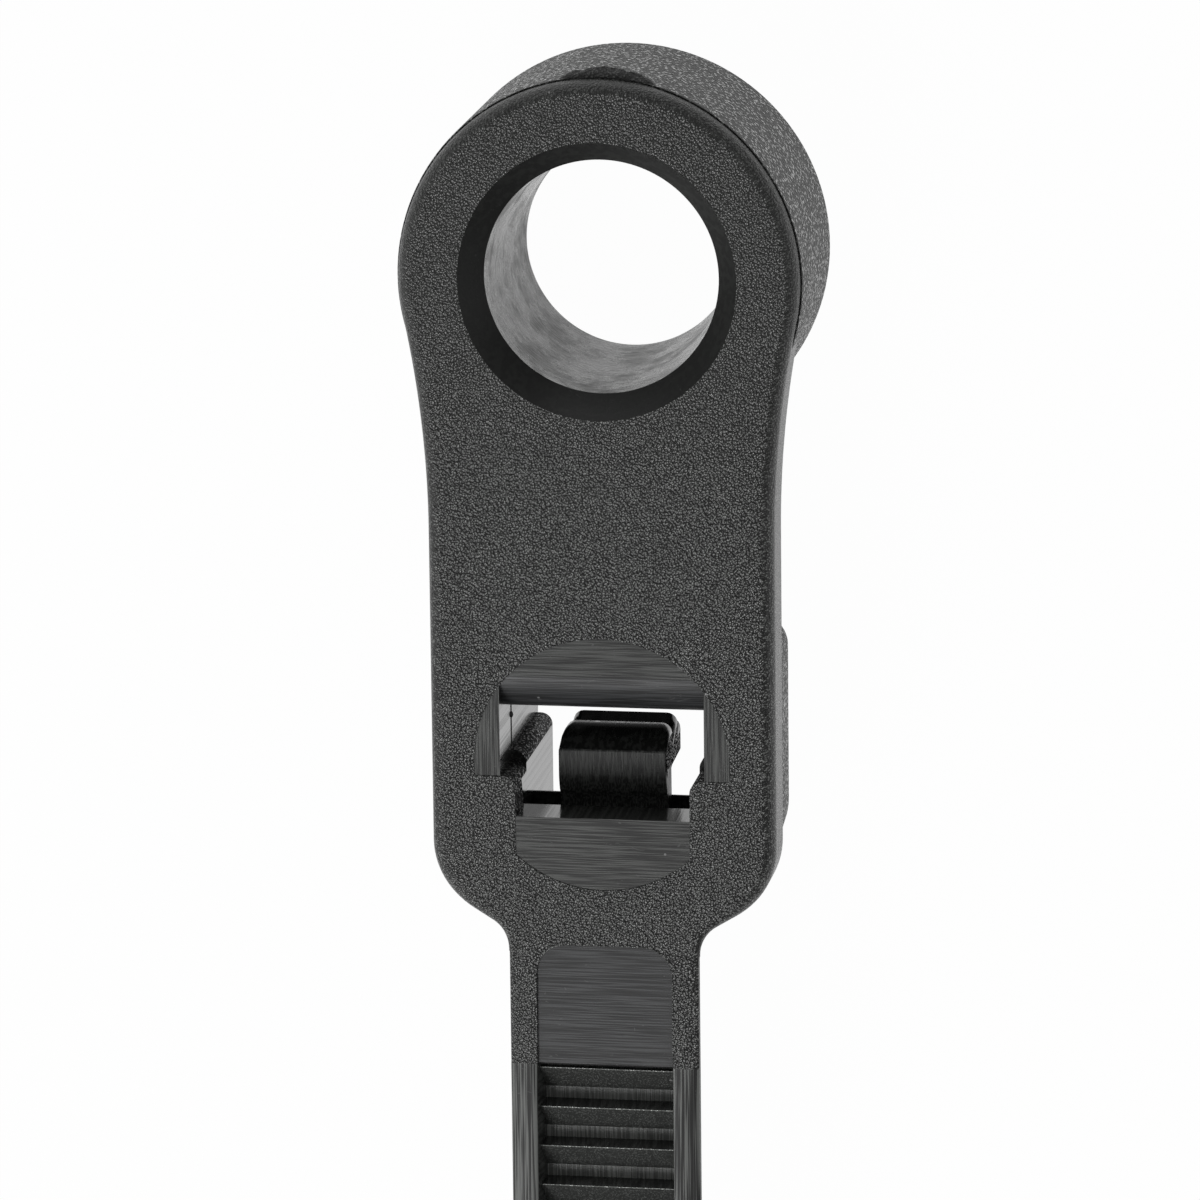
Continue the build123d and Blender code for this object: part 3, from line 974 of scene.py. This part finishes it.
def grained(name, kit, size, depth, marks=1.0, low=0.35, lift=7.5, middle=None, swing=0.1,
            eyelet_shade=0.0):
    """Eroded nylon: grain in relief, with a few dust specks. Its colour goes from a tone in the
    pits to a lighter tone on the peaks, both times the nylon's: painted shade and painted glints.
    Towards the eyelet the colour goes by the given share to an even, darker tone: painted shade."""
    material, board, place = start_finish(name)
    grain = board.group(kit.grain, Vector=place, Size=size)
    handling = board.group(kit.handling, Vector=place, Amount=marks)
    # Painted light and shade: the peaks' lighter tone stands for glints, the pits' tone for shade
    colour = tinted(board, scaled(kit.nylon, low), grain.outputs["Peaks"],
                    scaled(kit.nylon, lift))
    # Painted shade: towards the eyelet the grain's colour fades to an even, darker tone
    if eyelet_shade:
        lengthwise = board.add("ShaderNodeSeparateXYZ", Vector=place).outputs[1]
        colour = tinted(board, colour, board.ramp(lengthwise, -8.0, 2.0, 0.0, eyelet_shade),
                        scaled(kit.nylon, 1.2))
    colour = tinted(board, colour, handling.outputs["Specks"], kit.dust)
    middle = middle or kit.roughness
    rough = board.ramp(grain.outputs["Peaks"], 0.0, 1.0, middle + swing, middle - swing)
    end_finish(board, colour, rough, grain.outputs["Height"], depth)
    return material


def brushed(name, kit, stretch, width, depth, roughness, marks=1.0, low=0.4, lift=4.0,
            smudge=0.0, base=None):
    """Smooth nylon with the fine lines of the steel that shaped it, in relief.
    Its colour is lighter on the lines than in the furrows: painted sheen and shade.
    """
    material, board, place = start_finish(name)
    base = base or kit.nylon
    lines = board.group(kit.streaks, Vector=place, Width=width, Stretch=stretch)
    handling = board.group(kit.handling, Vector=place, Amount=marks)
    # Painted sheen: the lines take the lighter tone, the furrows the darker one
    colour = tinted(board, scaled(base, low), lines.outputs["Bright"], scaled(base, lift))
    colour = tinted(board, colour, handling.outputs["Specks"], kit.dust)
    colour = tinted(board, colour, board.maths("MULTIPLY", handling.outputs["Scratches"], 0.5),
                    scaled(kit.dust, 0.5))
    swing = 0.06
    rough = board.ramp(lines.outputs["Height"], 0.4, 0.62, roughness + swing, roughness - swing)
    if smudge:
        cloud = board.clouds(place, 0.9, 5.0, 0.65)
        rough = board.maths("ADD", rough, board.ramp(cloud, 0.35, 0.7, 0.0, smudge))
    end_finish(board, colour, rough, lines.outputs["Height"], depth)
    return material


def make_finishes(settings):
    """Every finish of the moulding, in the order in which they are numbered above."""
    kit = SimpleNamespace(grain=grain_group(), streaks=streak_group(), handling=handling_group(),
                          nylon=tuple(settings.nylon), dust=tuple(settings.dust),
                          roughness=settings.roughness)
    across, lengthways, upright = (0.02, 1.0, 1.0), (1.0, 0.02, 0.02), (1.0, 1.0, 0.02)
    size, depth = settings.grain_size, settings.grain_depth
    return [
        grained("fine_grain", kit, size, depth, eyelet_shade=0.6),
        # Painted light: the coarse grain's peaks take a strong light tone, for the bright
        # reflections on the boss's and box's sides
        grained("coarse_grain", kit, size * 1.9, depth * 3.2, low=1.0, lift=9.0, middle=0.3,
                swing=0.28),
        brushed("brushed_across", kit, across, 0.028, 0.006, 0.42, lift=3.3),
        brushed("brushed_along", kit, lengthways, 0.03, 0.008, 0.4, lift=4.2),
        brushed("rail", kit, lengthways, 0.05, 0.012, 0.5, low=0.2, lift=6.0),
        grained("tooth_ramp", kit, size * 0.9, depth * 0.4, marks=1.3, low=1.6, lift=5.5),
        # Painted light: the pockets' floors are coloured several times lighter than the nylon
        brushed("tooth_land", kit, lengthways, 0.032, 0.004, 0.34, low=4.0, lift=10.0),
        brushed("pawl_nose", kit, (1.0, 0.06, 1.0), 0.034, 0.004, 0.34, low=1.0),
        brushed("core_smooth", kit, upright, 0.1, 0.002, 0.14, low=0.8, lift=2.0),
        brushed("bore_satin", kit, (0.3, 0.3, 4.0), 0.12, 0.015, 0.1, low=0.5, lift=6.0,
                smudge=0.32),
        # Painted shade: the countersunk mouth is coloured darker than the nylon
        brushed("mouth_smooth", kit, (1, 1, 1), 0.2, 0.001, 0.36, low=0.8, lift=1.5,
                base=scaled(kit.nylon, 0.8)),
        brushed("patch_smooth", kit, across, 0.035, 0.004, 0.46, marks=1.2, low=0.5, lift=2.4,
                base=tuple(settings.patch)),
        grained("gate_scar", kit, size * 1.3, depth * 2, lift=3.0, middle=0.5),
        grained("core_rough", kit, size * 1.4, depth * 1.8, low=0.2, lift=9.0, middle=0.5,
                swing=0.35),
        # Painted highlight: the thin light line along the teeth's crests
        grained("crest_highlight", kit, size, depth, low=8.0, lift=30.0),
    ]


# Operators

class TIE_OT_moulding(Operator):
    """Model the whole tie as one moulding and put it in place of its CAD node"""
    bl_idname = "tie.moulding"
    bl_label = "Make the moulding"

    def execute(self, context):
        scene = context.scene
        head, slot, pawl, strap = (in_mm(g) for g in (scene.tie_head, scene.tie_slot,
                                                      scene.tie_pawl, scene.tie_strap))
        face = node_high.z / MM
        finishes = make_finishes(in_mm(scene.tie_finish))

        def shape(name, bm):
            return as_object(name, bm, finishes)

        moulding = shape("moulding", face_plate(head, strap, face))
        combine(moulding, [shape("boss", boss_shape(head, face)),
                           shape("box", lock_box(head, strap, face)),
                           shape("scar", scar_shape(head, face))], "UNION")
        lead_in = shape("lead_in", lead_in_cutter(slot, face))
        core = turned([(slot.core_radius, face - 3 * ABOVE), (slot.core_radius, face + 2 * ABOVE)],
                      CORE_SIDES, [SMOOTH] * 2, -slot.core_centre)
        combine(lead_in, [shape("core", core)], "INTERSECT")
        cutters = [shape("bore", bore_cutter(head, face)), lead_in,
                   shape("chamber", chamber_cutter(slot, pawl, face))]
        cutters += [shape(f"slot_{i}", bm) for i, bm in enumerate(slot_cutters(slot, face))]
        cutters += [shape(f"mark_{i}", bm) for i, bm in enumerate(core_marks(slot, face))]
        combine(moulding, cutters, "DIFFERENCE")
        added = [shape("pawl", pawl_shape(pawl, strap, face)),
                 shape("hinge", hinge_shape(slot, pawl, face)),
                 shape("strap", strap_shape(strap, face))]
        added += [shape(f"flash_{i}", bm) for i, bm in enumerate(flash_line(slot, face))]
        combine(moulding, added, "UNION")
        combine(moulding, [shape("patch", patch_cutter(strap, face))], "DIFFERENCE")
        finish_piece(moulding)
        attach(moulding, "root")
        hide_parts("cable_tie")
        return {"FINISHED"}


class TIE_OT_stage(Operator):
    """Set the lit table, the soft lamps and the camera"""
    bl_idname = "tie.stage"
    bl_label = "Set the stage"

    def execute(self, context):
        scene = context.scene
        settings = scene.tie_stage
        self.make_table(settings)
        self.make_room(scene, settings)
        target = Vector((0, -0.008, 0.0056))
        for name, spot, width, height, glow in (
                ("front softbox", (-0.109, -0.183, 0.224), 0.15, 0.15, settings.front_glow),
                ("back softbox", (-0.12, 0.45, 0.14), 0.6, 0.25, settings.back_glow),
                ("left softbox", (-0.45, 0.0, 0.2), 0.5, 0.3, settings.left_glow),
                ("right softbox", (0.4, -0.05, 0.16), 0.4, 0.25, settings.right_glow)):
            lamp = bpy.data.lights.new(name, "AREA")
            lamp.shape, lamp.size, lamp.size_y = "RECTANGLE", width, height
            lamp.energy = glow * math.pi * width * height
            made = bpy.data.objects.new(name, lamp)
            scene.collection.objects.link(made)
            made.location = spot
            made.rotation_euler = (target - Vector(spot)).to_track_quat("-Z", "Y").to_euler()
        self.make_camera(scene, settings)
        scene.view_settings.view_transform = "Standard"
        return {"FINISHED"}

    def make_table(self, settings):
        """The table: it looks white, and keeps a little of the tie's shadow."""
        bm = bmesh.new()
        reach, lit = 3.0, 0.98
        just_under = Matrix.Translation((0, 0, -0.02 * MM))
        bmesh.ops.create_grid(bm, x_segments=1, y_segments=1, size=reach, matrix=just_under)
        material, board = new_material("table_white")
        path = board.add("ShaderNodeLightPath")
        mirrored = board.maths("ADD", path.outputs["Is Glossy Ray"],
                               path.outputs["Is Transmission Ray"])
        seen = board.maths("ADD", board.maths("MULTIPLY", path.outputs["Is Camera Ray"], lit),
                           board.maths("MULTIPLY", mirrored, settings.mirrored_white), clamp=True)
        plain = board.add("ShaderNodeBsdfDiffuse", Color=(0.8, 0.8, 0.8, 1))
        white = board.add("ShaderNodeEmission", Color=(1, 1, 1, 1), Strength=settings.table_glow)
        mix = board.add("ShaderNodeMixShader", i0=seen, i1=plain.outputs[0], i2=white.outputs[0])
        board.add("ShaderNodeOutputMaterial", Surface=mix.outputs[0])
        as_object("table", bm, [material])

    def make_room(self, scene, settings):
        """An even grey room that looks white to the camera."""
        world = bpy.data.worlds.new("room")
        world.use_nodes = True
        board = Board(world.node_tree)
        path = board.add("ShaderNodeLightPath")
        grey = (settings.world_grey,) * 3 + (1,)
        room = board.add("ShaderNodeBackground", Color=grey, Strength=1.0)
        white = board.add("ShaderNodeBackground", Color=(1, 1, 1, 1), Strength=1.0)
        mix = board.add("ShaderNodeMixShader", i0=path.outputs["Is Camera Ray"],
                        i1=room.outputs[0], i2=white.outputs[0])
        board.add("ShaderNodeOutputWorld", Surface=mix.outputs[0])
        scene.world = world

    def make_camera(self, scene, settings):
        """The camera where the photograph was taken from, fitted to the tie's outlines."""
        data = bpy.data.cameras.new("camera")
        data.lens, data.sensor_width, data.sensor_height = settings.lens, 36, 36
        data.clip_start, data.clip_end = 0.01, 10
        camera = bpy.data.objects.new("camera", data)
        right, up = Vector((0.98681, -0.01103, -0.16152)), Vector((-0.02699, 0.97251, -0.23129))
        back = right.cross(up)
        turn = Matrix((right, up, back)).transposed().to_4x4()
        camera.matrix_world = Matrix.Translation((0.0313202, 0.0377042, 0.1937955)) @ turn
        scene.collection.objects.link(camera)
        scene.camera = camera


class TIE_PT_panel(Panel):
    """Sizes and operators of the cable tie"""
    bl_idname = "TIE_PT_panel"
    bl_label = "Cable tie"
    bl_space_type = "VIEW_3D"
    bl_region_type = "UI"
    bl_category = "Cable tie"

    def draw(self, context):
        for operator in OPERATORS:
            self.layout.operator(operator.bl_idname)
        for key, _ in GROUPS:
            box = self.layout.box()
            box.label(text=key.replace("_", " ").capitalize())
            group = getattr(context.scene, key)
            for name in type(group).__annotations__:
                box.prop(group, name)


GROUPS = (("tie_head", HeadSizes), ("tie_slot", SlotSizes), ("tie_pawl", PawlSizes),
          ("tie_strap", StrapSizes), ("tie_finish", FinishSettings), ("tie_stage", StageSettings))
OPERATORS = (TIE_OT_moulding, TIE_OT_stage)


def register():
    """Adds the classes to the session and the settings to the scene."""
    for key, group in GROUPS:
        bpy.utils.register_class(group)
        setattr(bpy.types.Scene, key, PointerProperty(type=group))
    for item in (*OPERATORS, TIE_PT_panel):
        bpy.utils.register_class(item)


def unregister():
    """Takes the classes and the settings away again."""
    for item in (TIE_PT_panel, *reversed(OPERATORS)):
        bpy.utils.unregister_class(item)
    for key, group in reversed(GROUPS):
        delattr(bpy.types.Scene, key)
        bpy.utils.unregister_class(group)


def main():
    """Makes the tie and its stage."""
    register()
    bpy.ops.tie.moulding()
    bpy.ops.tie.stage()


if __name__ == "__main__":
    main()
